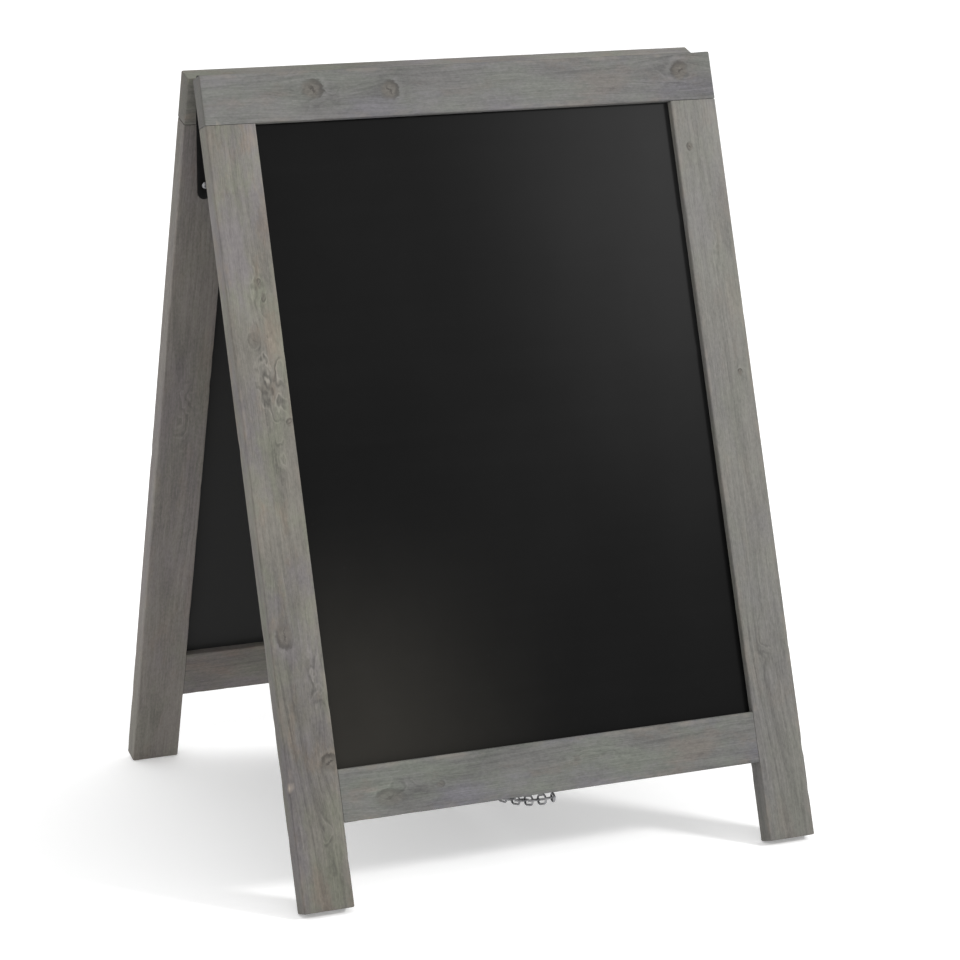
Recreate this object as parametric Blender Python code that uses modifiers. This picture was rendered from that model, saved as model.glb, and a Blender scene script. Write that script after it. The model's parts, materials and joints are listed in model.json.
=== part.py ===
"""A folding sandwich board: two framed chalkboards, two strap hinges and a limiting chain.

Each frame is modelled upright about the hinge axis, in a parent empty that sits on that
axis and leans it out to its open stance. In a frame's own axes Z runs up the frame from
the hinge axis, and |Y| is the distance out from the plane where the closed frames meet.
Metres, +Z up, front towards -Y, origin on the floor under the hinge axis.
"""

import math

import bmesh
import bpy
from mathutils import Matrix, Vector

# Frames
WIDTH = 0.580
LENGTH = 0.852
THICK = 0.022
STILE = 0.054
TOP_RAIL = 0.052
LOW_RAIL = 0.054
LEG = 0.085
LEAN = math.radians(18.1)
FACE = 0.0078
EASE = 0.0015
GAP = 0.0003

# Chalkboard panels and the groove that holds them
PANEL = 0.005
RECESS = 0.008
GROOVE = 0.008
STOP = 0.012

# Strap hinges
HINGE_X = WIDTH / 2 - 0.028
STRAP = 0.137
STRAP_ROOT = 0.040
STRAP_TIP = 0.0154
STRAP_THICK = 0.0023
KNUCKLE_R = 0.0058
KNUCKLE_MID = 0.0146
PIN_R = 0.0028
SCREW_Z = (-0.026, -0.074, -0.1206)
SCREW_R = 0.0020
SCREW_LENGTH = 0.0165
HEAD_R = 0.0041
HEAD_H = 0.0021

# Chain and its screw eyes
LINKS = 29
LINK_INNER = 0.0181
LINK_WIRE = 0.0013
LINK_HALF = 0.0046
EYE_X = 0.0
EYE_IN = 0.007
EYE_R = 0.0042
EYE_WIRE = 0.0012
EYE_DROP = 0.0056
SHANK_R = 0.0014
SHANK = 0.015

BOTTOM = -LENGTH
RAIL_LOW = BOTTOM + LEG
RAIL_HIGH = RAIL_LOW + LOW_RAIL
AXIS_Z = LENGTH * math.cos(LEAN) - (FACE + EASE) * math.sin(LEAN)
PANEL_OUT = FACE + THICK - RECESS
SIDES = {"front": -1, "rear": 1}


def new_collection(name):
    """A collection linked to the scene."""
    made = bpy.data.collections.new(name)
    bpy.context.scene.collection.children.link(made)
    return made


def material(name, colour, roughness, metallic):
    """A plain Principled material."""
    made = bpy.data.materials.new(name)
    made.use_nodes = True
    shader = made.node_tree.nodes["Principled BSDF"]
    shader.inputs["Base Color"].default_value = (*colour, 1)
    shader.inputs["Roughness"].default_value = roughness
    shader.inputs["Metallic"].default_value = metallic
    return made


def place(name, data, home, parent=None, finish=None):
    """An object of that mesh or curve in a collection, with its parent and material."""
    made = bpy.data.objects.new(name, data)
    home.objects.link(made)
    made.parent = parent
    if finish:
        data.materials.clear()
        data.materials.append(finish)
    return made


def box_mesh(name, low, high):
    """A box between two corners."""
    low, high = Vector(low), Vector(high)
    mesh = bpy.data.meshes.new(name)
    bm = bmesh.new()
    bmesh.ops.create_cube(bm, size=1)
    bmesh.ops.scale(bm, vec=high - low, verts=bm.verts)
    bmesh.ops.translate(bm, vec=(low + high) / 2, verts=bm.verts)
    bm.to_mesh(mesh)
    bm.free()
    return mesh


def rod_mesh(name, radius, start, end, sides):
    """A closed cylinder from start to end."""
    start, end = Vector(start), Vector(end)
    along = end - start
    mesh = bpy.data.meshes.new(name)
    bm = bmesh.new()
    turn = along.to_track_quat("Z", "Y").to_matrix().to_4x4()
    bmesh.ops.create_cone(
        bm,
        cap_ends=True,
        segments=sides,
        radius1=radius,
        radius2=radius,
        depth=along.length,
        matrix=Matrix.Translation((start + end) / 2) @ turn,
    )
    bm.to_mesh(mesh)
    bm.free()
    return mesh


def cutter(mesh, parent=None):
    """A hidden object that only cuts or joins."""
    made = place(mesh.name, mesh, CUTTERS, parent)
    made.hide_render = True
    made.display_type = "WIRE"
    return made


def combine(target, tool, operation="DIFFERENCE"):
    """A Boolean modifier on target, with the exact solver."""
    step = target.modifiers.new(tool.name, "BOOLEAN")
    step.operation = operation
    step.object = tool
    step.solver = "EXACT"


def ease_edges(target, width=EASE):
    """Rounds a board's edges."""
    step = target.modifiers.new("ease", "BEVEL")
    step.width = width
    step.segments = 2
    step.limit_method = "ANGLE"


def bake(target):
    """The object's evaluated mesh; the object and its cutters are then removed."""
    bpy.context.view_layer.update()
    seen = target.evaluated_get(bpy.context.evaluated_depsgraph_get())
    mesh = bpy.data.meshes.new_from_object(seen)
    tools = [m.object for m in target.modifiers if m.type == "BOOLEAN"]
    for gone in [target, *tools]:
        bpy.data.objects.remove(gone)
    return mesh


def smooth(mesh, angle=35):
    """Smooth shading with sharp edges kept."""
    mesh.shade_smooth()
    mesh.set_sharp_from_angle(angle=math.radians(angle))


def across(side, x0, near, z0, x1, far, z1):
    """Box corners between two distances from the closing plane, on a frame's side."""
    ends = sorted((side * near, side * far))
    return (x0, ends[0], z0), (x1, ends[1], z1)


def board(frame, side, name, x0, z0, x1, z1):
    """One eased length of timber through the frame's full thickness."""
    low, high = across(side, x0, FACE, z0, x1, FACE + THICK, z1)
    made = place(name, box_mesh(name, low, high), PARTS, frame, WOOD)
    ease_edges(made)
    return made


def tongue(target, frame, side, x0, z0, x1, z1):
    """Adds a stub tenon as thick as the panel."""
    low, high = across(side, x0, PANEL_OUT - PANEL, z0, x1, PANEL_OUT, z1)
    mesh = box_mesh(f"{target.name}_tongue_{x0:+.3f}", low, high)
    combine(target, cutter(mesh, frame), "UNION")


def groove(target, frame, side, x0, z0, x1, z1):
    """Cuts the slot for the panel's edge and the stub tenons."""
    near, far = PANEL_OUT - PANEL - GAP, PANEL_OUT + GAP
    low, high = across(side, x0, near, z0, x1, far, z1)
    combine(target, cutter(box_mesh(f"{target.name}_groove", low, high), frame))


def top_rail(frame, side, name):
    """The rail that runs the full width over both stiles."""
    half = WIDTH / 2
    rail = board(frame, side, f"{name}_top_rail", -half, -TOP_RAIL, half, 0)
    end = half - STOP
    groove(rail, frame, side, -end, -TOP_RAIL - EASE, end, -TOP_RAIL + GROOVE)
    return rail


def stile(frame, side, name, hand):
    """An upright whose foot is cut square, with a stub tenon at its top."""
    outer, inner = hand * WIDTH / 2, hand * (WIDTH / 2 - STILE)
    top = -TOP_RAIL - GAP
    x0, x1 = sorted((outer, inner))
    label = "left" if hand < 0 else "right"
    post = board(frame, side, f"{name}_{label}_stile", x0, BOTTOM, x1, top)
    bed = inner + hand * GROOVE
    ends = sorted((outer - hand * (STOP + GAP), bed + hand * GAP))
    tongue(post, frame, side, ends[0], top - EASE, ends[1], top + GROOVE - 0.0005)
    slot = sorted((bed, inner - hand * EASE))
    groove(post, frame, side, slot[0], RAIL_LOW + 0.003, slot[1], 0)
    return post


def low_rail(frame, side, name):
    """The rail between the stiles, with a stub tenon at each end."""
    half = WIDTH / 2 - STILE
    x = half - GAP
    rail = board(frame, side, f"{name}_bottom_rail", -x, RAIL_LOW, x, RAIL_HIGH)
    low, high = RAIL_LOW + 0.006, RAIL_HIGH - GROOVE - 0.002
    reach = half + GROOVE - 0.0005
    for hand in (-1, 1):
        ends = sorted((hand * (half - 0.003), hand * reach))
        tongue(rail, frame, side, ends[0], low, ends[1], high)
    groove(rail, frame, side, -half, RAIL_HIGH - GROOVE, half, RAIL_HIGH + EASE)
    return rail


def panel(frame, side, name):
    """The chalkboard, held in the grooves all round."""
    into = GROOVE - 0.0005
    half = WIDTH / 2 - STILE + into
    low, high = across(
        side,
        -half,
        PANEL_OUT - PANEL,
        RAIL_HIGH - into,
        half,
        PANEL_OUT,
        -TOP_RAIL + into,
    )
    place(f"{name}_panel", box_mesh(f"{name}_panel", low, high), PARTS, frame, BLACK)


def drill(target, frame, radius, start, end):
    """A blind hole with a fastener's clearance."""
    count = len(target.modifiers)
    mesh = rod_mesh(f"{target.name}_hole_{count}", radius + GAP, start, end, 12)
    combine(target, cutter(mesh, frame))


def strap_outline(name):
    """The tapered strap as a flat curve: square at the knuckle, round at the tip."""
    root, tip = STRAP_ROOT / 2, STRAP_TIP / 2
    centre = STRAP - tip
    steps = 8
    arc = [
        (tip * math.cos(math.pi * i / steps), -centre - tip * math.sin(math.pi * i / steps))
        for i in range(steps + 1)
    ]
    points = [(-root, 0.001), (root, 0.001), *arc]
    flat = bpy.data.curves.new(name, "CURVE")
    flat.dimensions = "2D"
    flat.fill_mode = "BOTH"
    flat.extrude = STRAP_THICK / 2
    line = flat.splines.new("POLY")
    line.points.add(len(points) - 1)
    for point, (x, z) in zip(line.points, points):
        point.co = (x, z, 0, 1)
    line.use_cyclic_u = True
    return flat


def welded(shape):
    """The mesh of a curve object with its caps welded; the object is removed."""
    bpy.context.view_layer.update()
    seen = shape.evaluated_get(bpy.context.evaluated_depsgraph_get())
    mesh = bpy.data.meshes.new_from_object(seen)
    mesh.transform(shape.matrix_world)
    bm = bmesh.new()
    bm.from_mesh(mesh)
    bmesh.ops.remove_doubles(bm, verts=bm.verts, dist=0.00001)
    bmesh.ops.recalc_face_normals(bm, faces=bm.faces)
    bm.to_mesh(mesh)
    bm.free()
    bpy.data.objects.remove(shape)
    return mesh


def leaf_mesh(side, owns_middle):
    """One hinge leaf: a tapered strap, its knuckles, its screw holes and the pin's bore."""
    outer = FACE - GAP
    shape = place("strap", strap_outline("strap"), CUTTERS)
    shape.rotation_euler.x = math.pi / 2
    shape.location.y = side * (outer - STRAP_THICK / 2)
    leaf = place("leaf", welded(shape), CUTTERS)

    root, mid = STRAP_ROOT / 2, KNUCKLE_MID / 2
    if owns_middle:
        barrels, clear = [(-mid, mid)], [(-root, -mid - GAP), (mid + GAP, root)]
    else:
        barrels = [(-root, -mid - GAP), (mid + GAP, root)]
        clear = [(-mid, mid)]
    for x0, x1 in clear:
        low, high = across(side, x0 - GAP, 0, -0.010, x1 + GAP, 0.02, 0.01)
        combine(leaf, cutter(box_mesh("notch", low, high)))
    for x0, x1 in barrels:
        barrel = rod_mesh("barrel", KNUCKLE_R, (x0, 0, 0), (x1, 0, 0), 20)
        combine(leaf, cutter(barrel), "UNION")
    bore = rod_mesh("bore", PIN_R + GAP, (-0.03, 0, 0), (0.03, 0, 0), 20)
    combine(leaf, cutter(bore))
    for z in SCREW_Z:
        hole = rod_mesh("hole", SCREW_R + GAP, (0, 0, z), (0, side * 0.03, z), 12)
        combine(leaf, cutter(hole))
    mesh = bake(leaf)
    smooth(mesh)
    return mesh


def screw_mesh():
    """A pan-head wood screw along Z: the head's underside at 0, a crossed slot on top."""
    profile = [
        (0, HEAD_H),
        (0.45 * HEAD_R, 0.93 * HEAD_H),
        (0.85 * HEAD_R, 0.6 * HEAD_H),
        (HEAD_R, 0.1 * HEAD_H),
        (0.97 * HEAD_R, 0),
        (SCREW_R, 0),
        (SCREW_R, -0.75 * SCREW_LENGTH),
        (0, -SCREW_LENGTH),
    ]
    mesh = bpy.data.meshes.new("screw")
    edges = [(i, i + 1) for i in range(len(profile) - 1)]
    mesh.from_pydata([(r, 0, z) for r, z in profile], edges, [])
    shape = place("screw", mesh, CUTTERS)
    turn = shape.modifiers.new("turn", "SCREW")
    turn.steps = turn.render_steps = 14
    turn.use_merge_vertices = True
    turn.merge_threshold = 0.00002
    wide, slim, deep = 0.55 * HEAD_R, 0.00045, 0.45 * HEAD_H
    for x, y in ((wide, slim), (slim, wide)):
        low, high = (-x, -y, deep), (x, y, 2 * HEAD_H)
        combine(shape, cutter(box_mesh("slot", low, high)))
    baked = bake(shape)
    smooth(baked)
    return baked


def hinge(frames, label, x):
    """A strap hinge: a leaf on each frame and the pin between them."""
    pin = rod_mesh(f"hinge_{label}_pin", PIN_R, (-0.0203, 0, 0), (0.0203, 0, 0), 16)
    smooth(pin)
    place(pin.name, pin, PARTS, frames["front"], STEEL).location.x = x
    for name, side in SIDES.items():
        leaf = leaf_mesh(side, owns_middle=name == "rear")
        made = place(f"hinge_{label}_{name}_leaf", leaf, PARTS, frames[name], JAPAN)
        made.location.x = x


def hinge_screws(frames, boards, label, x):
    """Three screws through each leaf, the first into the top rail."""
    for name, side in SIDES.items():
        under_head = FACE - GAP - STRAP_THICK - GAP
        for number, z in enumerate(SCREW_Z, 1):
            made = place(
                f"screw_{label}_{name}_{number}", SCREW, PARTS, frames[name], ZINC
            )
            made.location = (x, side * under_head, z)
            made.rotation_euler.x = side * math.pi / 2
            into = "top" if number == 1 else label
            tip = side * (under_head + SCREW_LENGTH + 0.001)
            drill(boards[name, into], frames[name], SCREW_R, (x, 0, z), (x, tip, z))


def eye_mesh():
    """A screw eye: a ring about X, its shank rising from the ring along Z."""
    bm = bmesh.new()
    mesh = bpy.data.meshes.new("eye")
    bm.to_mesh(mesh)
    bm.free()
    bpy.ops.mesh.primitive_torus_add(
        major_radius=EYE_R,
        minor_radius=EYE_WIRE,
        major_segments=16,
        minor_segments=6,
        rotation=(0, math.pi / 2, 0),
    )
    ring = bpy.context.object
    ring.data.transform(ring.matrix_world)
    ring.matrix_world = Matrix.Identity(4)
    for home in list(ring.users_collection):
        home.objects.unlink(ring)
    CUTTERS.objects.link(ring)
    start = (0, 0, EYE_R)
    end = (0, 0, EYE_DROP + SHANK)
    combine(ring, cutter(rod_mesh("shank", SHANK_R, start, end, 10)), "UNION")
    baked = bake(ring)
    smooth(baked, 50)
    return baked


def screw_eye(frame, side, name, rail):
    """The eye in the lower edge of a bottom rail. Returns its ring's centre."""
    x = -side * EYE_X
    y = side * (FACE + EYE_IN)
    made = place(f"chain_eye_{name}", EYE, PARTS, frame, ZINC)
    made.location = (x, y, RAIL_LOW - EYE_DROP)
    start = (x, y, RAIL_LOW - 0.005)
    end = (x, y, RAIL_LOW + SHANK + 0.001)
    drill(rail, frame, SHANK_R, start, end)
    bpy.context.view_layer.update()
    return made.matrix_world.translation.copy()


def link_curve():
    """One chain link along X in the XY plane, as a closed bent wire."""
    wire = bpy.data.curves.new("chain_link", "CURVE")
    wire.dimensions = "3D"
    wire.bevel_depth = LINK_WIRE
    wire.bevel_resolution = 1
    straight = LINK_INNER / 2 + LINK_WIRE - LINK_HALF
    steps = 4
    points = []
    for end in (1, -1):
        for i in range(steps + 1):
            turn = math.pi * (i / steps - 0.5)
            x = straight + LINK_HALF * math.cos(turn)
            y = LINK_HALF * math.sin(turn)
            points.append((end * x, end * y, 0))
    line = wire.splines.new("POLY")
    line.points.add(len(points) - 1)
    for point, place_at in zip(line.points, points):
        point.co = (*place_at, 1)
    line.use_cyclic_u = True
    return wire


def catenary(span, length):
    """The height and distance along a hanging chain as functions of arc length."""
    low, high = 0.01, 100.0
    for _ in range(80):
        a = (low + high) / 2
        if 2 * a * math.sinh(span / (2 * a)) > length:
            low = a
        else:
            high = a

    def at(arc):
        across_it = a * math.asinh((arc - length / 2) / a)
        rise = a * (math.cosh(across_it / a) - math.cosh(span / (2 * a)))
        return span / 2 + across_it, rise

    return at


def chain(start, end):
    """Links between the eyes, flat and upright in turn, on a catenary.

    A flat link turns about its own end bars and an upright one about its neighbours'
    bars, so the flat links' pivots are further apart than the upright ones'.
    """
    flat = LINK_INNER + 2 * LINK_WIRE
    upright = LINK_INNER - 2 * LINK_WIRE - 2 * GAP
    lengths = [flat if i % 2 == 0 else upright for i in range(LINKS)]
    total = sum(lengths)
    at = catenary(end.y - start.y, total)
    wire = link_curve()
    arc = 0.0
    for number, size in enumerate(lengths, 1):
        y0, z0 = at(arc)
        y1, z1 = at(arc + size)
        middle = (arc + size / 2) / total
        made = place(f"chain_link_{number:02d}", wire, PARTS, None, ZINC)
        made.location = (
            start.x + (end.x - start.x) * middle,
            start.y + (y0 + y1) / 2,
            start.z + (z0 + z1) / 2,
        )
        slope = math.atan2(z1 - z0, y1 - y0)
        along = Matrix.Rotation(slope, 4, "X") @ Matrix.Rotation(math.pi / 2, 4, "Z")
        if number % 2 == 0:
            along = along @ Matrix.Rotation(math.pi / 2, 4, "X")
        made.rotation_euler = along.to_euler()
        arc += size


def frame_empty(name, side):
    """The parent on the hinge axis that leans a frame out."""
    made = bpy.data.objects.new(f"{name}_frame", None)
    PARTS.objects.link(made)
    made.location.z = AXIS_Z
    made.rotation_euler.x = side * LEAN
    return made


for old in list(bpy.data.objects):
    bpy.data.objects.remove(old)

PARTS = new_collection("sandwich_board")
CUTTERS = new_collection("cutters")
WOOD = material("stained_wood", (0.20, 0.20, 0.185), 0.72, 0)
BLACK = material("chalkboard", (0.012, 0.012, 0.012), 0.5, 0)
JAPAN = material("hinge_black", (0.01, 0.01, 0.01), 0.4, 0.3)
STEEL = material("pin_steel", (0.05, 0.05, 0.05), 0.35, 0.9)
ZINC = material("zinc", (0.55, 0.56, 0.57), 0.35, 1)
SCREW = screw_mesh()
EYE = eye_mesh()

frames = {name: frame_empty(name, side) for name, side in SIDES.items()}
boards = {}
rings = {}
for name, side in SIDES.items():
    frame = frames[name]
    boards[name, "top"] = top_rail(frame, side, name)
    boards[name, "left"] = stile(frame, side, name, -1)
    boards[name, "right"] = stile(frame, side, name, 1)
    boards[name, "low"] = low_rail(frame, side, name)
    panel(frame, side, name)
    rings[name] = screw_eye(frame, side, name, boards[name, "low"])
for label, x in (("left", -HINGE_X), ("right", HINGE_X)):
    hinge(frames, label, x)
    hinge_screws(frames, boards, label, x)
play = Vector((0, EYE_R - EYE_WIRE - LINK_WIRE - GAP, -0.0005))
chain(rings["front"] + play, rings["rear"] + play * Vector((1, -1, 1)))
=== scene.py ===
"""The look of the sandwich board: stained timber, chalkboards, hinges, screws and chain."""

import json
import math

import bmesh
import bpy
import numpy as np
from mathutils import Matrix, Vector, noise


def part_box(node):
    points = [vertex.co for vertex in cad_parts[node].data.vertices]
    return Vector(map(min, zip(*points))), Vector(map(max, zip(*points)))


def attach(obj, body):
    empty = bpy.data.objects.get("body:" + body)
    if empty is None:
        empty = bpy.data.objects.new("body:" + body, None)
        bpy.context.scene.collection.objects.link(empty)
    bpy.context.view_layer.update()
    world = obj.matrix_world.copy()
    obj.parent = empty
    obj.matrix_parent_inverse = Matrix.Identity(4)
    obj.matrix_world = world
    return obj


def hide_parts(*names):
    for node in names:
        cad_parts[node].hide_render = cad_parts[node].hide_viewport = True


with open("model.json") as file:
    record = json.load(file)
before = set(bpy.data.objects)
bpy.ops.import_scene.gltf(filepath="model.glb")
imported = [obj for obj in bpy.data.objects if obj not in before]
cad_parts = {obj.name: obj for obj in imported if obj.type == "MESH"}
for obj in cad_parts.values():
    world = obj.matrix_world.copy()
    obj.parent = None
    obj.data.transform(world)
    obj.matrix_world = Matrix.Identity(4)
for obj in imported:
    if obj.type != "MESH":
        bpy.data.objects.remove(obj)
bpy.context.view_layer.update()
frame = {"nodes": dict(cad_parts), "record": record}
NODES = frame["nodes"]
BEHAVIOUR = frame["record"]["behaviour"]
FOLD = next(j for j in BEHAVIOUR["joints"] if j["name"] == "fold")
AXIS = Vector(FOLD["pos_m"])
LEAN = math.radians(18.1)
SIDES = {"front": -1, "rear": 1}

# Timber: the play between members, the top rail's height, the groove's depth, how far it
# stops short of a top rail's ends and above a bottom rail's lower edge, and how far a foot
# stays off the floor
GAP = 0.0003
TOP_RAIL = 0.052
GROOVE = 0.008
STOP = 0.012
GROOVE_START = 0.003
FOOT_GAP = 0.0006

# How far edges are rounded: along a board, where another board meets it, and at its ends
ROUND = 0.0017
ROUND_MET = 0.0007
ROUND_END = 0.0014

# A groove's depth where there is none, and half the length in which a section changes
NO_GROOVE = 0.00002
CHANGE = 0.0003

# Small steel: how far its edges are eased, and the sides of a link's round wire
EASED = 0.00035
WIRE_SIDES = 12


# ---------------------------------------------------------------- node helpers


class Graph:
    """Short calls for building one material's nodes."""

    def __init__(self, name):
        self.material = bpy.data.materials.new(name)
        self.material.use_nodes = True
        self.tree = self.material.node_tree
        self.shader = self.tree.nodes["Principled BSDF"]

    def put(self, socket, value):
        """Links a socket, or sets a plain value."""
        if isinstance(value, bpy.types.NodeSocket):
            self.tree.links.new(value, socket)
        elif value is not None:
            socket.default_value = value

    def node(self, kind, **settings):
        """A new node with its settings."""
        made = self.tree.nodes.new(kind)
        for key, value in settings.items():
            setattr(made, key, value)
        return made

    def math(self, operation, a, b=None, c=None):
        """A sum, product or function of up to three values."""
        made = self.node("ShaderNodeMath", operation=operation)
        for socket, value in zip(made.inputs, (a, b, c)):
            self.put(socket, value)
        return made.outputs[0]

    def vector(self, operation, a, b=None):
        """A vector sum or product, or a length as a plain value."""
        made = self.node("ShaderNodeVectorMath", operation=operation)
        self.put(made.inputs[0], a)
        self.put(made.inputs[1], b)
        return made.outputs["Value" if operation == "LENGTH" else "Vector"]

    def split(self, value):
        made = self.node("ShaderNodeSeparateXYZ")
        self.put(made.inputs[0], value)
        return made.outputs

    def join(self, x, y, z):
        made = self.node("ShaderNodeCombineXYZ")
        for socket, value in zip(made.inputs, (x, y, z)):
            self.put(socket, value)
        return made.outputs[0]

    def noise(self, where, scale, detail=3, rough=0.5):
        """Noise from 0 to 1 with its own scale along each axis."""
        made = self.node("ShaderNodeTexNoise")
        self.put(made.inputs["Vector"], self.vector("MULTIPLY", where, scale))
        made.inputs["Scale"].default_value = 1
        made.inputs["Detail"].default_value = detail
        made.inputs["Roughness"].default_value = rough
        return made.outputs["Fac"]

    def ramp(self, value, low, high, out_low=0.0, out_high=1.0):
        """A smooth step between two values."""
        made = self.node("ShaderNodeMapRange", interpolation_type="SMOOTHSTEP")
        for name, given in (
            ("Value", value),
            ("From Min", low),
            ("From Max", high),
            ("To Min", out_low),
            ("To Max", out_high),
        ):
            self.put(made.inputs[name], given)
        return made.outputs[0]

    def mix(self, factor, a, b, blend="MIX"):
        """A colour mix."""
        made = self.node("ShaderNodeMix", data_type="RGBA", blend_type=blend)
        self.put(made.inputs[0], factor)
        self.put(made.inputs[6], (*a, 1) if isinstance(a, tuple) else a)
        self.put(made.inputs[7], (*b, 1) if isinstance(b, tuple) else b)
        return made.outputs[2]

    def bump(self, height, strength, distance, under=None):
        """A normal bent by a height, on top of another normal where one is given."""
        made = self.node("ShaderNodeBump")
        made.inputs["Strength"].default_value = strength
        made.inputs["Distance"].default_value = distance
        self.put(made.inputs["Height"], height)
        self.put(made.inputs["Normal"], under)
        return made.outputs[0]


# ---------------------------------------------------------------- stained timber


def timber_material(name, seed, knots, figures=(), tint_and_fill=(1, 1, 1), fade=0.0, patchy=1.0):
    """Grey-stained softwood. X runs along the grain, Y across the board, Z out of its face.

    A knot is (x, y, radius, darkness, length along the grain over width, turn of its dark
    side in degrees). A figure is a patch of swirling grain: (x, y, half length, half width,
    strength). fade is how much lighter the stain gets per metre along the board, and patchy
    how uneven it is.
    """
    g = Graph(name)
    here = g.node("ShaderNodeTexCoord").outputs["Object"]
    moved = g.vector("ADD", here, (seed * 3.7, seed * 1.3, seed * 0.71))
    x, y, z = g.split(here)

    # slow wander of the grain, and its bend round each knot
    drift = g.noise(moved, (3.2, 9, 9), 2)
    ragged = g.noise(moved, (150, 220, 220), 4, 0.7)
    bent = g.math("MULTIPLY_ADD", g.math("SUBTRACT", drift, 0.5), 0.020, y)
    bent = g.math("MULTIPLY_ADD", g.math("SUBTRACT", ragged, 0.5), 0.0008, bent)
    core = rim = flow = split = pale = None
    for kx, ky, radius, dark, long, side in knots:
        dx = g.math("DIVIDE", g.math("SUBTRACT", x, kx), radius * long)
        dy = g.math("DIVIDE", g.math("SUBTRACT", y, ky), radius)
        away = g.vector("LENGTH", g.join(dx, dy, 0))
        away = g.math("MULTIPLY_ADD", g.math("SUBTRACT", ragged, 0.5), 0.95, away)
        stretched = g.vector("LENGTH", g.join(g.math("MULTIPLY", dx, 0.42), dy, 0))
        pull = g.math("EXPONENT", g.math("MULTIPLY", g.math("POWER", stretched, 2), -0.42))
        shift = g.math("MULTIPLY", g.math("SUBTRACT", y, ky), g.math("MULTIPLY", pull, -0.86))
        bent = g.math("ADD", bent, shift)
        inside = g.math("MULTIPLY", g.ramp(away, 0.60, 1.08, 1, 0), dark)
        turn = math.radians(side)
        lean = g.math("MULTIPLY", dx, math.cos(turn))
        lean = g.math("MULTIPLY_ADD", dy, math.sin(turn), lean)
        edge = g.math("MULTIPLY", g.ramp(away, 0.42, 0.90), g.ramp(away, 0.98, 1.22, 1, 0))
        edge = g.math("MULTIPLY", edge, g.ramp(lean, -0.4, 0.85, 0.22 * dark, dark))
        outer = g.math("MULTIPLY", g.ramp(away, 1.05, 1.3), g.ramp(away, 1.35, 1.9, 1, 0))
        outer = g.math("MULTIPLY", outer, g.ramp(lean, 0.0, 1.2, 0, dark))
        across = g.math("MULTIPLY", dy, math.cos(turn + 0.7))
        across = g.math("MULTIPLY_ADD", dx, math.sin(turn + 0.7), across)
        across = g.math("MULTIPLY_ADD", g.math("SUBTRACT", ragged, 0.5), 1.3, across)
        crack = g.ramp(g.math("ABSOLUTE", across), 0.01, 0.13, dark, 0)
        crack = g.math("MULTIPLY", crack, g.ramp(away, 0.30, 0.75, 1, 0))
        halo = g.ramp(stretched, 0.7, 2.6, 0.6 * dark, 0)
        core = inside if core is None else g.math("MAXIMUM", core, inside)
        rim = edge if rim is None else g.math("MAXIMUM", rim, edge)
        flow = halo if flow is None else g.math("MAXIMUM", flow, halo)
        split = crack if split is None else g.math("MAXIMUM", split, crack)
        pale = outer if pale is None else g.math("MAXIMUM", pale, outer)

    # swirling figure: contour lines of a slow field, strong only in a few patches
    swirl = g.noise(g.vector("ADD", moved, (1.1, 5.2, 0.4)), (22, 46, 46), 3, 0.45)
    swirl = g.math("FRACT", g.math("MULTIPLY", swirl, 6.5))
    inked = g.ramp(g.math("ABSOLUTE", g.math("SUBTRACT", swirl, 0.5)), 0.0, 0.30, 1, 0)
    chalky = g.ramp(g.math("ABSOLUTE", g.math("SUBTRACT", swirl, 0.78)), 0.0, 0.16, 1, 0)
    spread = 0.07
    for fx, fy, half_long, half_wide, strength in figures:
        dx = g.math("DIVIDE", g.math("SUBTRACT", x, fx), half_long)
        dy = g.math("DIVIDE", g.math("SUBTRACT", y, fy), half_wide)
        patch = g.math("MULTIPLY_ADD", g.math("SUBTRACT", ragged, 0.5), 0.8,
                       g.vector("LENGTH", g.join(dx, dy, 0)))
        spread = g.math("MAXIMUM", spread, g.ramp(patch, 0.35, 1.1, strength, 0))

    # growth rings about a pith that lies off the board and runs slightly across it
    rise = 0.022 if seed % 2 else -0.018
    ry = g.math("MULTIPLY_ADD", x, 0.012 * ((seed % 3) - 1), g.math("ADD", bent, 0.004 * (seed % 5)))
    rz = g.math("MULTIPLY_ADD", x, rise, g.math("ADD", z, 0.030 + 0.008 * (seed % 4)))
    reach = g.vector("LENGTH", g.join(0, ry, rz))
    lap = g.math("FRACT", g.math("MULTIPLY", reach, 360))
    late = g.math("MULTIPLY", g.ramp(lap, 0.30, 0.88), g.ramp(lap, 0.90, 1.0, 1, 0))
    strength = g.ramp(g.noise(moved, (5, 34, 34), 2), 0.34, 0.68, 0.05, 0.9)
    late = g.math("MULTIPLY", late, strength)

    along = g.join(x, g.math("ADD", bent, seed * 0.11), g.math("ADD", z, seed * 0.07))
    fibre = g.noise(along, (40, 1300, 1300), 3, 0.65)
    streak = g.noise(along, (9, 330, 330), 4, 0.62)
    band = g.noise(along, (2.6, 60, 60), 3, 0.55)
    pores = g.ramp(g.noise(along, (60, 900, 900), 2, 0.5), 0.60, 0.74)
    speck = g.noise(moved, (260, 460, 460), 3, 0.65)
    blot_a = g.noise(moved, (11, 24, 24), 5, 0.66)
    blot_b = g.noise(g.vector("ADD", moved, (9.1, 4.4, 2.2)), (7, 17, 17), 5, 0.62)
    blot_c = g.noise(g.vector("ADD", moved, (3.3, 8.8, 6.1)), (16, 34, 34), 5, 0.62)
    blot_d = g.noise(g.vector("ADD", moved, (6.6, 1.8, 4.9)), (9, 16, 16), 4, 0.62)

    # the stain colours are scaled per board: by its own tone, and on the rear boards also by painted fill
    # light
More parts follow.
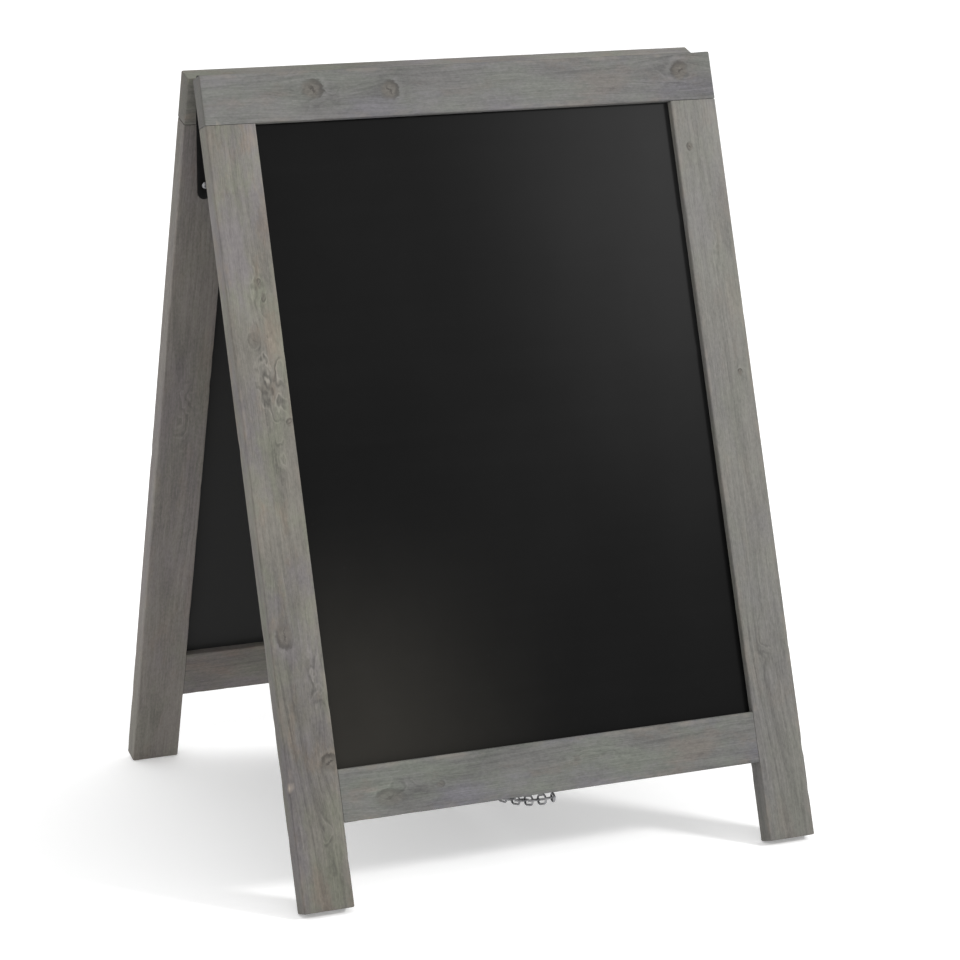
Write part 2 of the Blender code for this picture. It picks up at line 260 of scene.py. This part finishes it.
    base = tuple(c * t for c, t in zip((0.125, 0.122, 0.112), tint_and_fill))
    green = tuple(c * t for c, t in zip((0.121, 0.126, 0.105), tint_and_fill))
    violet = tuple(c * t for c, t in zip((0.121, 0.116, 0.121), tint_and_fill))
    brown = tuple(c * t for c, t in zip((0.137, 0.119, 0.101), tint_and_fill))
    colour = g.mix(g.ramp(blot_a, 0.42, 0.62, 0, patchy), base, green)
    colour = g.mix(g.ramp(blot_b, 0.46, 0.64, 0, patchy), colour, violet)
    colour = g.mix(g.ramp(blot_c, 0.52, 0.68, 0, 0.7 * patchy), colour, brown)
    light = g.math("MULTIPLY_ADD", g.math("SUBTRACT", streak, 0.5), 0.56,
                   g.math("MULTIPLY_ADD", x, fade, 1.0))
    light = g.math("MULTIPLY_ADD", g.math("SUBTRACT", fibre, 0.5), 0.62, light)
    light = g.math("MULTIPLY_ADD", g.math("SUBTRACT", band, 0.5), 0.40, light)
    light = g.math("MULTIPLY_ADD", g.math("SUBTRACT", blot_d, 0.5), 0.90 * patchy, light)
    light = g.math("MULTIPLY_ADD", g.math("SUBTRACT", speck, 0.5), 0.60, light)
    thread = g.ramp(g.noise(along, (13, 520, 520), 3, 0.6), 0.60, 0.72)
    light = g.math("MULTIPLY_ADD", thread, 0.13, light)
    light = g.math("MULTIPLY_ADD", late, -0.19, light)
    light = g.math("MULTIPLY_ADD", pores, -0.08, light)
    light = g.math("MULTIPLY_ADD", flow, -0.16, light)
    light = g.math("MULTIPLY_ADD", g.math("MULTIPLY", inked, spread), -0.46, light)
    light = g.math("MULTIPLY_ADD", g.math("MULTIPLY", chalky, spread), 0.36, light)
    if pale is not None:
        light = g.math("MULTIPLY_ADD", pale, 0.16, light)
    colour = g.mix(1.0, colour, g.join(light, light, light), "MULTIPLY")

    # knots: a browner heart, a dark crescent rim and a ragged drying crack
    if core is not None:
        heart = g.math("MULTIPLY_ADD", speck, 0.9, 0.42)
        knot = g.mix(1.0, (0.118, 0.106, 0.091), g.join(heart, heart, heart), "MULTIPLY")
        colour = g.mix(g.math("MULTIPLY", core, 0.75), colour, knot)
        colour = g.mix(g.math("MULTIPLY", rim, 0.74), colour, (0.040, 0.036, 0.031))
        colour = g.mix(g.math("MULTIPLY", split, 0.70), colour, (0.026, 0.023, 0.020))

    # edges rubbed through to bare wood, and darker, thirstier end grain
    wear = g.node("ShaderNodeAttribute", attribute_name="wear").outputs["Fac"]
    rub = g.ramp(g.noise(moved, (30, 70, 70), 3, 0.65), 0.48, 0.66)
    wear = g.math("MULTIPLY", wear, rub)
    colour = g.mix(g.math("MULTIPLY", wear, 0.40), colour, (0.205, 0.176, 0.150))
    bare = g.node("ShaderNodeAttribute", attribute_name="bare").outputs["Fac"]
    colour = g.mix(bare, colour, (0.36, 0.31, 0.26))
    ends = g.math("ABSOLUTE", g.split(g.node("ShaderNodeTexCoord").outputs["Normal"])[0])
    colour = g.mix(g.ramp(ends, 0.6, 0.9, 0, 0.5), colour, (0.062, 0.057, 0.050))

    g.put(g.shader.inputs["Base Color"], colour)
    matt = g.math("MULTIPLY_ADD", late, -0.10, 0.72)
    matt = g.math("MULTIPLY_ADD", g.math("SUBTRACT", streak, 0.5), 0.25, matt)
    g.put(g.shader.inputs["Roughness"], matt)
    g.shader.inputs["Specular IOR Level"].default_value = 0.28
    relief = g.math("MULTIPLY_ADD", late, 0.4, g.math("MULTIPLY", fibre, 0.8))
    relief = g.math("MULTIPLY_ADD", streak, 0.8, relief)
    relief = g.math("MULTIPLY_ADD", speck, 0.5, relief)
    relief = g.math("MULTIPLY_ADD", pores, -0.4, relief)
    if rim is not None:
        relief = g.math("MULTIPLY_ADD", rim, -0.7, relief)
        relief = g.math("MULTIPLY_ADD", split, -0.8, relief)
    g.put(g.shader.inputs["Normal"], g.bump(relief, 0.65, 0.0005))
    return g.material


# ---------------------------------------------------------------- lofted boards


def section(width, thick, cut, soft):
    """One cross-section as (y, z, corner amount, may wander), anticlockwise.

    cut is (side, z low, z high, depth) for the groove in one long edge. soft is how far
    the corners are rounded on the +Y edge and on the -Y edge.
    """
    points = []
    corners = (
        (width / 2, 0.0, -90, 1, -1),
        (width / 2, thick, 0, 1, 1),
        (-width / 2, thick, 90, -1, 1),
        (-width / 2, 0.0, 180, -1, -1),
    )
    for number, (cy, cz, start, sy, sz) in enumerate(corners):
        radius = soft[0] if sy > 0 else soft[1]
        my, mz = cy - sy * radius, cz - sz * radius
        for i in range(5):
            turn = math.radians(start + 22.5 * i)
            share = 1.0 if radius > ROUND_MET else 0.0
            points.append((my + radius * math.cos(turn), mz + radius * math.sin(turn), share, 1.0))
        if number in (0, 2):
            side = 1 if number == 0 else -1
            levels = (0.3, 0.7) if side > 0 else (0.7, 0.3)
            if cut[0] == side:
                low, high = (cut[1], cut[2]) if side > 0 else (cut[2], cut[1])
                face, bed = side * width / 2, side * (width / 2 - cut[3])
                points += [(face, low, 0, 0), (bed, low, 0, 0), (bed, high, 0, 0), (face, high, 0, 0)]
            else:
                points += [(side * width / 2, thick * level, 0, 1) for level in levels]
        else:
            for i in range(1, 7):
                share = i / 7 if number == 3 else 1 - i / 7
                points.append((width * (share - 0.5), thick if number == 1 else 0.0, 0, 1))
    return points


def board_mesh(name, length, width, thick, cut, seed, nicks, free_ends, tight):
    """A board from -length/2 to length/2 with softened, slightly worn edges.

    cut is the groove as (edge side, z low, z high, depth, x low, x high). free_ends says
    whether the low and the high end are rounded over. tight lists (edge side, x low,
    x high): where another board meets that edge it stays square.
    """
    steps = max(8, round(length / 0.006))
    soft_end = (0.0, 0.00025, 0.0007, ROUND_END)
    marks = [v for _, low, high in tight for v in (low, high)] + list(cut[4:])
    breaks = [v + shift for v in marks for shift in (-CHANGE, CHANGE)]
    breaks = sorted(v for v in breaks if abs(v) < length / 2 - 0.003)
    xs = [-length / 2 + e for e in soft_end]
    xs += [length * (i / steps - 0.5) for i in range(steps + 1)]
    xs += [length / 2 - e for e in soft_end]
    xs = [v for v in xs if abs(v) >= length / 2 - 0.0015 or abs(v) < length / 2 - 0.003]
    xs = [v for v in xs if all(abs(v - b) > 0.001 for b in breaks)] + breaks
    xs = sorted({round(v, 6) for v in xs})
    mesh = bpy.data.meshes.new(name)
    bm = bmesh.new()
    worn = bm.verts.layers.float.new("wear")
    chipped = bm.verts.layers.float.new("bare")
    rings = []
    for x in xs:
        near = max(0.0, length / 2 - abs(x))
        free = free_ends[0 if x < 0 else 1]
        inset = ROUND_END - math.sqrt(max(0.0, ROUND_END**2 - (ROUND_END - min(near, ROUND_END)) ** 2))
        inset *= 1.0 if free else 0.12
        soft = []
        for edge in (1, -1):
            met = any(side == edge and low <= x <= high for side, low, high in tight)
            soft.append(ROUND_MET if met else ROUND)
        this = (*cut[:3], cut[3] if cut[4] < x < cut[5] else NO_GROOVE)
        ring = []
        for y, z, corner, wanders in section(width, thick, this, soft):
            where = Vector((x * 9 + seed * 7.1, y * 60, z * 60))
            sink = 0.00016 * (0.5 + 0.5 * noise.noise(where)) * wanders
            sharp = Vector((x * 48 + seed * 3.3, y * 90, z * 90))
            chip = max(0.0, noise.noise(sharp) - 0.30) * 0.0012 * corner
            mark = 0.0
            for nx, ny, nz, size, depth in nicks:
                away = Vector((x - nx, (y - ny) * 1.6, (z - nz) * 1.6)).length / size
                if away < 1:
                    chip += depth * (1 - away * away) ** 2
                    mark = max(mark, 1 - away * away)
            pull = sink + chip + inset
            edge_y = abs(y) > width / 2 - 0.003
            near_y = math.copysign(max(0.0, abs(y) - (pull if edge_y else 0.0)), y)
            near_z = z
            if z > thick - ROUND:
                near_z = z - pull
            elif z < ROUND:
                near_z = z + pull
            vert = bm.verts.new((x, near_y, near_z))
            end_edge = 1.0 if near < 0.0012 and free else 0.0
            vert[worn] = max(corner, end_edge) * 0.8
            vert[chipped] = min(1.0, mark * 1.3)
            ring.append(vert)
        rings.append(ring)
    count = len(rings[0])
    for a, b in zip(rings, rings[1:]):
        for i in range(count):
            j = (i + 1) % count
            bm.faces.new((a[i], a[j], b[j], b[i]))
    bm.faces.new(list(reversed(rings[0])))
    bm.faces.new(rings[-1])
    bmesh.ops.recalc_face_normals(bm, faces=bm.faces)
    bm.to_mesh(mesh)
    bm.free()
    mesh.shade_smooth()
    mesh.set_sharp_from_angle(angle=math.radians(50))
    return mesh


def frame_matrix(side):
    """Where a frame's own axes stand in the world."""
    return Matrix.Translation(AXIS) @ Matrix.Rotation(side * LEAN, 4, "X")


def local_box(node, side):
    """A node's lowest and highest corners in its frame's own axes."""
    turn = np.array(frame_matrix(side).inverted())
    mesh = NODES[node].data
    flat = np.empty(len(mesh.vertices) * 3)
    mesh.vertices.foreach_get("co", flat)
    points = flat.reshape(-1, 3) @ turn[:3, :3].T + turn[:3, 3]
    return Vector(points.min(0)), Vector(points.max(0))


def place(name, mesh, matrix, material, body, slot, *replaced):
    """A piece at a matrix, riding a body and standing for the CAD nodes it replaces."""
    piece = bpy.data.objects.new(name, mesh)
    bpy.context.scene.collection.objects.link(piece)
    piece.matrix_world = matrix
    mesh.materials.clear()
    mesh.materials.append(material)
    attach(piece, body)
    if replaced:
        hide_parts(*replaced)
    return piece


def axes(origin, along, across, out):
    """A matrix whose columns are those directions."""
    rows = Matrix((along, across, out)).transposed().to_4x4()
    rows.translation = origin
    return rows


KNOTS = {
    "front_top_rail": [(-0.171, 0.006, 0.0105, 0.9, 1.1, 25), (-0.086, 0.001, 0.0098, 0.9, 1.0, 20),
                       (0.2515, 0.006, 0.0105, 0.9, 0.95, 120)],
    "front_left_stile": [(0.092, -0.023, 0.0038, 0.9, 1.1, 30), (-0.121, 0.011, 0.0085, 0.85, 1.6, 150),
                         (-0.253, -0.0195, 0.0080, 1.0, 1.1, 20), (0.178, 0.004, 0.0065, 0.45, 1.2, 90),
                         (0.236, -0.009, 0.0025, 0.7, 2.0, 0), (0.222, -0.0115, 0.0026, 0.7, 2.0, 180)],
    "front_right_stile": [(0.349, 0.0115, 0.0038, 0.8, 1.2, 90), (0.101, -0.0126, 0.0026, 0.9, 1.5, 0)],
    "front_bottom_rail": [(-0.184, -0.0085, 0.0085, 0.5, 1.9, 90), (-0.128, -0.002, 0.0035, 0.5, 1.3, 0)],
    "rear_top_rail": [(0.11, -0.006, 0.0095, 0.8, 1.1, 30), (-0.16, 0.01, 0.0080, 0.75, 1.2, 200)],
    "rear_right_stile": [(0.05, -0.012, 0.0090, 0.7, 1.2, 60), (0.29, 0.009, 0.0065, 0.5, 1.3, 0)],
    "rear_bottom_rail": [(0.09, 0.012, 0.0075, 0.6, 1.3, 45)],
}
FIGURES = {
    "front_left_stile": [(0.135, -0.008, 0.056, 0.019, 1.0), (0.225, -0.006, 0.050, 0.012, 0.55),
                         (0.055, -0.010, 0.035, 0.013, 0.50), (-0.165, -0.016, 0.045, 0.012, 0.60),
                         (-0.33, -0.008, 0.060, 0.010, 0.40)],
    "front_right_stile": [(-0.20, 0.004, 0.060, 0.012, 0.35), (0.22, -0.004, 0.060, 0.010, 0.30)],
    "front_top_rail": [(-0.165, 0.0, 0.040, 0.020, 0.30), (0.240, 0.0, 0.040, 0.018, 0.30)],
    "front_bottom_rail": [(0.05, 0.004, 0.070, 0.012, 0.30), (-0.18, 0.0, 0.045, 0.014, 0.35)],
    "rear_left_stile": [(0.05, 0.0, 0.060, 0.014, 0.40)],
    "rear_top_rail": [(0.11, 0.0, 0.040, 0.016, 0.40)],
}
# Colour scale per board: the front boards keep their own tones; the rear boards are lightened as painted
# fill light that their faces lack
TINT_AND_PAINTED_FILL = {
    "front_top_rail": (0.98, 0.98, 1.04),
    "front_left_stile": (1.10, 1.06, 1.01),
    "front_right_stile": (1.08, 1.07, 1.06),
    "front_bottom_rail": (0.91, 0.92, 0.96),
    "rear_top_rail": (1.20, 1.18, 1.16),
    "rear_left_stile": (1.42, 1.33, 1.32),
    "rear_right_stile": (1.24, 1.19, 1.17),
    "rear_bottom_rail": (1.15, 1.08, 1.09),
}
FADE = {
    "front_top_rail": -0.32,
    "front_left_stile": 0.26,
    "front_right_stile": 0.30,
    "front_bottom_rail": -0.40,
    "rear_left_stile": -0.12,
}
PATCHY = {"front_right_stile": 0.4, "front_top_rail": 0.7, "rear_left_stile": 0.5}
NICKS = {
    "front_top_rail": [(-0.276, -0.0265, 0.0225, 0.0030, 0.0010)],
    "front_left_stile": [(-0.272, 0.027, 0.022, 0.0036, 0.0012), (-0.3035, 0.0235, 0.0222, 0.0026, 0.0006)],
    "rear_right_stile": [(-0.20, 0.027, 0.022, 0.0040, 0.0012)],
}


def boards(name, side):
    """The four timber members of one frame, grooved for the panel as far as it reaches."""
    place_frame = frame_matrix(side)
    body = f"{name}_frame"
    rail_low, rail_high = local_box(f"{name}_top_rail", side)
    post_low, post_high = local_box(f"{name}_left_stile", side)
    cross_low, cross_high = local_box(f"{name}_bottom_rail", side)
    pane_low, pane_high = local_box(f"{name}_panel", side)
    inner = min(abs(rail_low.y), abs(rail_high.y))
    thick = abs(rail_high.y - rail_low.y)
    half = rail_high.x
    post_wide = post_high.x - post_low.x
    near = min(abs(pane_low.y), abs(pane_high.y)) - inner - GAP
    far = max(abs(pane_low.y), abs(pane_high.y)) - inner + GAP
    out = Vector((0, side, 0))
    right = Vector((-side, 0, 0))
    up = Vector((0, 0, 1))
    top, foot = -TOP_RAIL - GAP, post_low.z + FOOT_GAP
    post_long = top - foot
    middle = (top + foot) / 2
    ends = [(-half - 0.01, -half + post_wide), (half - post_wide, half + 0.01)]

    # name: along, across, length, width, centre, groove side and span, free ends, squared spans
    specs = {
        "top_rail": (right, up, 2 * half, TOP_RAIL, Vector((0, 0, -TOP_RAIL / 2)),
                     (-1, -half + STOP, half - STOP), (True, True),
                     [(-1, low, high) for low, high in ends]),
        "bottom_rail": (right, up, 2 * (half - post_wide) - GAP, cross_high.z - cross_low.z,
                        Vector((0, 0, (cross_high.z + cross_low.z) / 2)), (1, -half, half),
                        (False, False), []),
    }
    for label, hand in (("left", -1), ("right", 1)):
        centre = Vector((hand * (half - post_wide / 2), 0, middle))
        across = -up.cross(out)
        toward = 1 if centre.x * across.x < 0 else -1
        specs[f"{label}_stile"] = (up, across, post_long, post_wide, centre,
                                   (toward, cross_low.z - middle + GROOVE_START, post_long), (True, False),
                                   [(toward, cross_low.z - middle, cross_high.z - middle)])
    for part, (along, across, size, wide, centre, groove, free_ends, tight) in specs.items():
        edge, start, stop = groove
        node = f"{name}_{part}"
        seed = sum(ord(c) for c in node) % 23 + 1
        if along.cross(across).dot(out) < 0:
            across = -across
            edge = -edge
            tight = [(-side_met, low, high) for side_met, low, high in tight]
        mesh = board_mesh(node + "_timber", size, wide, thick, (edge, near, far, GROOVE, start, stop),
                          seed, NICKS.get(node, ()), free_ends, tight)
        origin = centre + out * inner
        look = timber_material(node + "_stain", seed, KNOTS.get(node, ()), FIGURES.get(node, ()),
                               TINT_AND_PAINTED_FILL.get(node, (1, 1, 1)), FADE.get(node, 0.0),
                               PATCHY.get(node, 1.0))
        matrix = place_frame @ axes(origin, along, across, out)
        place(node + "_timber", mesh, matrix, look, body, "stained_wood", node)


for frame_name, frame_side in SIDES.items():
    boards(frame_name, frame_side)


# ---------------------------------------------------------------- other materials


def chalkboard_material(name, base_and_reflection, sheen, painted_reflection=None):
    """Black chalkboard coating with a fine woven tooth, faint wiping marks and flecks of chalk. Its base
    colour is given; on the rear panel it is raised to paint in the reflection of the pale floor.

    The last argument is None, or the panel's lowest and highest corners: then the colour is lifted in its
    bottom left corner as a painted brownish reflection and in its top right corner as a painted highlight
    beside the key light's sheen, both mottled by the cloud.
    """
    g = Graph(name)
    here = g.node("ShaderNodeTexCoord").outputs["Object"]
    x, y, z = g.split(here)
    tooth = g.noise(here, (1100, 1100, 1100), 2)
    weave_x = g.math("SINE", g.math("MULTIPLY", x, 2600))
    weave_z = g.math("SINE", g.math("MULTIPLY", z, 2600))
    weave = g.math("MULTIPLY", weave_x, weave_z)
    cloud = g.noise(here, (9, 9, 5), 4, 0.6)
    wipe = g.noise(here, (3, 3, 70), 3, 0.6)
    fleck = g.ramp(g.noise(here, (420, 420, 420), 1), 0.70, 0.80)
    # the base colour; on the rear panel it holds a painted reflection of the floor
    shade = g.math("MULTIPLY_ADD", cloud, 0.0020, base_and_reflection)
    shade = g.math("MULTIPLY_ADD", wipe, 0.0012, shade)
    shade = g.math("MULTIPLY_ADD", fleck, 0.003, shade)
    shade = g.math("MULTIPLY_ADD", weave, 0.0006, shade)
    if painted_reflection:
        low, high = painted_reflection
        u = g.math("DIVIDE", g.math("SUBTRACT", x, low.x), high.x - low.x)
        v = g.math("DIVIDE", g.math("SUBTRACT", high.z, z), high.z - low.z)
        # painted light: a painted highlight in the top right corner and a painted brownish reflection in
        # the bottom left one
        reflection_mottle = g.math("MULTIPLY_ADD", cloud, 0.5, 0.75)
        painted_highlight = g.math("MULTIPLY", g.ramp(u, 0.38, 1.0), g.ramp(v, 0.12, 0.85, 1, 0))
        lower_left_reflection = g.math("MULTIPLY", g.ramp(u, 0.0, 0.62, 1, 0), g.ramp(v, 0.56, 1.06))
        shade = g.math("MULTIPLY_ADD", g.math("MULTIPLY", painted_highlight, reflection_mottle), 0.010, shade)
        lower_left_light = g.math("MULTIPLY", g.math("MULTIPLY", lower_left_reflection, reflection_mottle), 0.021)
        g.put(g.shader.inputs["Base Color"],
              g.join(g.math("ADD", shade, lower_left_light), g.math("MULTIPLY_ADD", lower_left_light, 0.93, shade),
                     g.math("MULTIPLY_ADD", lower_left_light, 0.78, shade)))
    else:
        g.put(g.shader.inputs["Base Color"], g.join(shade, shade, g.math("MULTIPLY", shade, 0.98)))
    rough = g.math("MULTIPLY_ADD", cloud, 0.05, 0.32)
    g.put(g.shader.inputs["Roughness"], g.math("MULTIPLY_ADD", tooth, 0.04, rough))
    g.shader.inputs["Specular IOR Level"].default_value = sheen
    height = g.math("MULTIPLY_ADD", weave, 0.35, tooth)
    wavy = g.bump(g.noise(here, (5, 5, 5), 1), 0.2, 0.004)
    g.put(g.shader.inputs["Normal"], g.bump(height, 0.25, 0.0001, wavy))
    return g.material


def metal_material(name, colour, metallic, rough, scale, spots=0.0, sheen=0.5):
    """Plated or japanned steel with fine mottling and rubbed spots."""
    g = Graph(name)
    here = g.node("ShaderNodeTexCoord").outputs["Object"]
    fine = g.noise(here, (scale,) * 3, 4, 0.6)
    wide = g.noise(here, (scale / 9,) * 3, 3, 0.6)
    dim = tuple(c * 0.72 for c in colour)
    tone = g.mix(g.ramp(wide, 0.35, 0.68), dim, colour)
    tone = g.mix(g.ramp(fine, 0.62, 0.75, 0, spots), tone, (0.10, 0.08, 0.07))
    g.put(g.shader.inputs["Base Color"], tone)
    g.shader.inputs["Metallic"].default_value = metallic
    g.shader.inputs["Specular IOR Level"].default_value = sheen
    g.put(g.shader.inputs["Roughness"], g.math("MULTIPLY_ADD", fine, 0.22, rough - 0.08))
    g.put(g.shader.inputs["Normal"], g.bump(fine, 0.25, 0.0001))
    return g.material


def corners(node):
    """A node's lowest and highest corners in the world, at rest."""
    low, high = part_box(node)
    return Vector(low), Vector(high)


LOOKS = {
    "hinge_black": metal_material("japanned_steel", (0.006, 0.006, 0.006), 0.0, 0.45, 900, 0.15, 0.12),
    "pin_steel": metal_material("pin_steel", (0.03, 0.03, 0.03), 0.9, 0.45, 900),
    "zinc": metal_material("zinc_plate", (0.30, 0.30, 0.31), 1.0, 0.36, 1200, 0.25),
}
FILMS = {
    # the front panel has painted reflections in two corners
    "front_panel": chalkboard_material("front_coat_painted_reflection", 0.0004, 0.066, corners("front_panel")),
    # the rear panel is the same black coating, with its base colour raised as a painted floor reflection
    "rear_panel": chalkboard_material("rear_coat_painted_reflection", 0.0170, 0.11),
}
OWNER = {node: body for body, nodes in BEHAVIOUR["bodies"].items() for node in nodes}


def softened(node, slot, bevel):
    """A copy of a small steel piece with its sharp edges eased, standing for the CAD one."""
    bm = bmesh.new()
    bm.from_mesh(NODES[node].data)
    bmesh.ops.remove_doubles(bm, verts=bm.verts, dist=1e-6)
    bmesh.ops.dissolve_limit(bm, angle_limit=math.radians(2), verts=bm.verts, edges=bm.edges)
    hard = [e for e in bm.edges if len(e.link_faces) == 2 and e.calc_face_angle(0) > math.radians(38)]
    if bevel:
        bmesh.ops.bevel(bm, geom=hard, offset=bevel, segments=2, profile=0.5, affect="EDGES",
                        clamp_overlap=True)
    mesh = bpy.data.meshes.new(node + "_eased")
    bm.to_mesh(mesh)
    bm.free()
    mesh.shade_smooth()
    mesh.set_sharp_from_angle(angle=math.radians(40))
    place(node + "_eased", mesh, NODES[node].matrix_world.copy(), LOOKS[slot], OWNER[node], slot, node)


def link_shape(name, centre, spread, wire):
    """One oval chain link of round wire: two straight sides and two half-round ends."""
    long, wide, normal = spread
    half_long, half_wide = long[1], wide[1]
    bend = half_wide - wire
    straight = half_long - half_wide
    path = []
    for start, side in ((-90, 1), (90, -1)):
        for i in range(13):
            turn = math.radians(start + 15 * i)
            path.append((side * straight + bend * math.cos(turn), bend * math.sin(turn),
                         math.cos(turn), math.sin(turn)))
    mesh = bpy.data.meshes.new(name)
    bm = bmesh.new()
    rings = []
    for px, py, cx, cy in path:
        ring = []
        for i in range(WIRE_SIDES):
            turn = math.tau * i / WIRE_SIDES
            reach = wire * math.cos(turn)
            where = centre + long[0] * (px + cx * reach) + wide[0] * (py + cy * reach)
            ring.append(bm.verts.new(where + normal[0] * (wire * math.sin(turn))))
        rings.append(ring)
    for a, b in zip(rings, rings[1:] + rings[:1]):
        for i in range(WIRE_SIDES):
            j = (i + 1) % WIRE_SIDES
            bm.faces.new((a[i], a[j], b[j], b[i]))
    bmesh.ops.recalc_face_normals(bm, faces=bm.faces)
    bm.to_mesh(mesh)
    bm.free()
    mesh.shade_smooth()
    return mesh


def smooth_link(node):
    """A rounder link in the exact place and size of the CAD one."""
    mesh = NODES[node].data
    flat = np.empty(len(mesh.vertices) * 3)
    mesh.vertices.foreach_get("co", flat)
    points = flat.reshape(-1, 3)
    middle = points.mean(0)
    _, _, turned = np.linalg.svd(points - middle, full_matrices=False)
    local = (points - middle) @ turned.T
    low, high = local.min(0), local.max(0)
    centre = Vector(middle + ((low + high) / 2) @ turned)
    spread = [(Vector(turned[i]), float(high[i] - low[i]) / 2) for i in range(3)]
    shape = link_shape(node + "_round", centre, spread, spread[2][1])
    place(node + "_round", shape, Matrix.Identity(4), LOOKS["zinc"], OWNER[node], "zinc", node)


for entry in frame["record"]["subparts"]:
    piece, slot = entry["node"], entry["material_slot"]
    if slot == "chalkboard":
        NODES[piece].data.materials.clear()
        NODES[piece].data.materials.append(FILMS[piece])
    elif piece.startswith("chain_link"):
        smooth_link(piece)
    elif slot in LOOKS:
        softened(piece, slot, EASED if "leaf" in piece or "pin" in piece else 0.0)


# ---------------------------------------------------------------- studio


def aim(thing, target):
    """Turns a light to face a place."""
    thing.rotation_euler = (Vector(target) - thing.location).to_track_quat("-Z", "Y").to_euler()


def lamp(name, where, target, size, watts):
    """A square area light at a place, turned to its target."""
    light = bpy.data.lights.new(name, "AREA")
    light.size = size
    light.energy = watts
    made = bpy.data.objects.new(name, light)
    bpy.context.scene.collection.objects.link(made)
    made.location = where
    aim(made, target)


def studio():
    """A pale floor, a white surround and one soft key light to the right."""
    world = bpy.data.worlds.new("studio")
    bpy.context.scene.world = world
    world.use_nodes = True
    shade = world.node_tree.nodes["Background"]
    shade.inputs["Color"].default_value = (1, 1, 1, 1)
    shade.inputs["Strength"].default_value = 1.0

    floor = Graph("pale_floor")
    here = floor.node("ShaderNodeTexCoord").outputs["Object"]
    cloud = floor.noise(here, (2, 2, 2), 3)
    floor.put(floor.shader.inputs["Base Color"], floor.mix(cloud, (0.93, 0.93, 0.93), (0.96, 0.96, 0.96)))
    floor.shader.inputs["Roughness"].default_value = 0.9
    floor.shader.inputs["Emission Color"].default_value = (1, 1, 1, 1)
    floor.shader.inputs["Emission Strength"].default_value = 0.24
    mesh = bpy.data.meshes.new("floor")
    bm = bmesh.new()
    bmesh.ops.create_grid(bm, x_segments=2, y_segments=2, size=30)
    bm.to_mesh(mesh)
    bm.free()
    mesh.materials.append(floor.material)
    ground = bpy.data.objects.new("floor", mesh)
    bpy.context.scene.collection.objects.link(ground)

    middle = Vector((0, -0.1, 0.45))
    turn, rise, far = math.radians(47), math.radians(29), 4.5
    flat = math.cos(rise)
    toward = Vector((math.sin(turn) * flat, -math.cos(turn) * flat, math.sin(rise)))
    lamp("key", middle + toward * far, middle, 0.75, 115)


def camera():
    """The photographer's place: left of the board's front and a little above it."""
    data = bpy.data.cameras.new("camera")
    made = bpy.data.objects.new("camera", data)
    bpy.context.scene.collection.objects.link(made)
    made.location = (-1.3376, -3.1651, 1.1605)
    yaw, pitch, roll = math.radians(24.236), math.radians(-13.154), math.radians(-0.127)
    turn = Matrix.Rotation(-yaw, 4, "Z") @ Matrix.Rotation(math.pi / 2 + pitch, 4, "X")
    made.rotation_euler = (turn @ Matrix.Rotation(roll, 4, "Z")).to_euler()
    data.lens = 121.68
    data.sensor_width = 36
    data.shift_x = -0.0503
    data.shift_y = 0.0034
    data.clip_end = 100
    bpy.context.scene.camera = made


bpy.context.scene.view_settings.view_transform = "Standard"
studio()
camera()
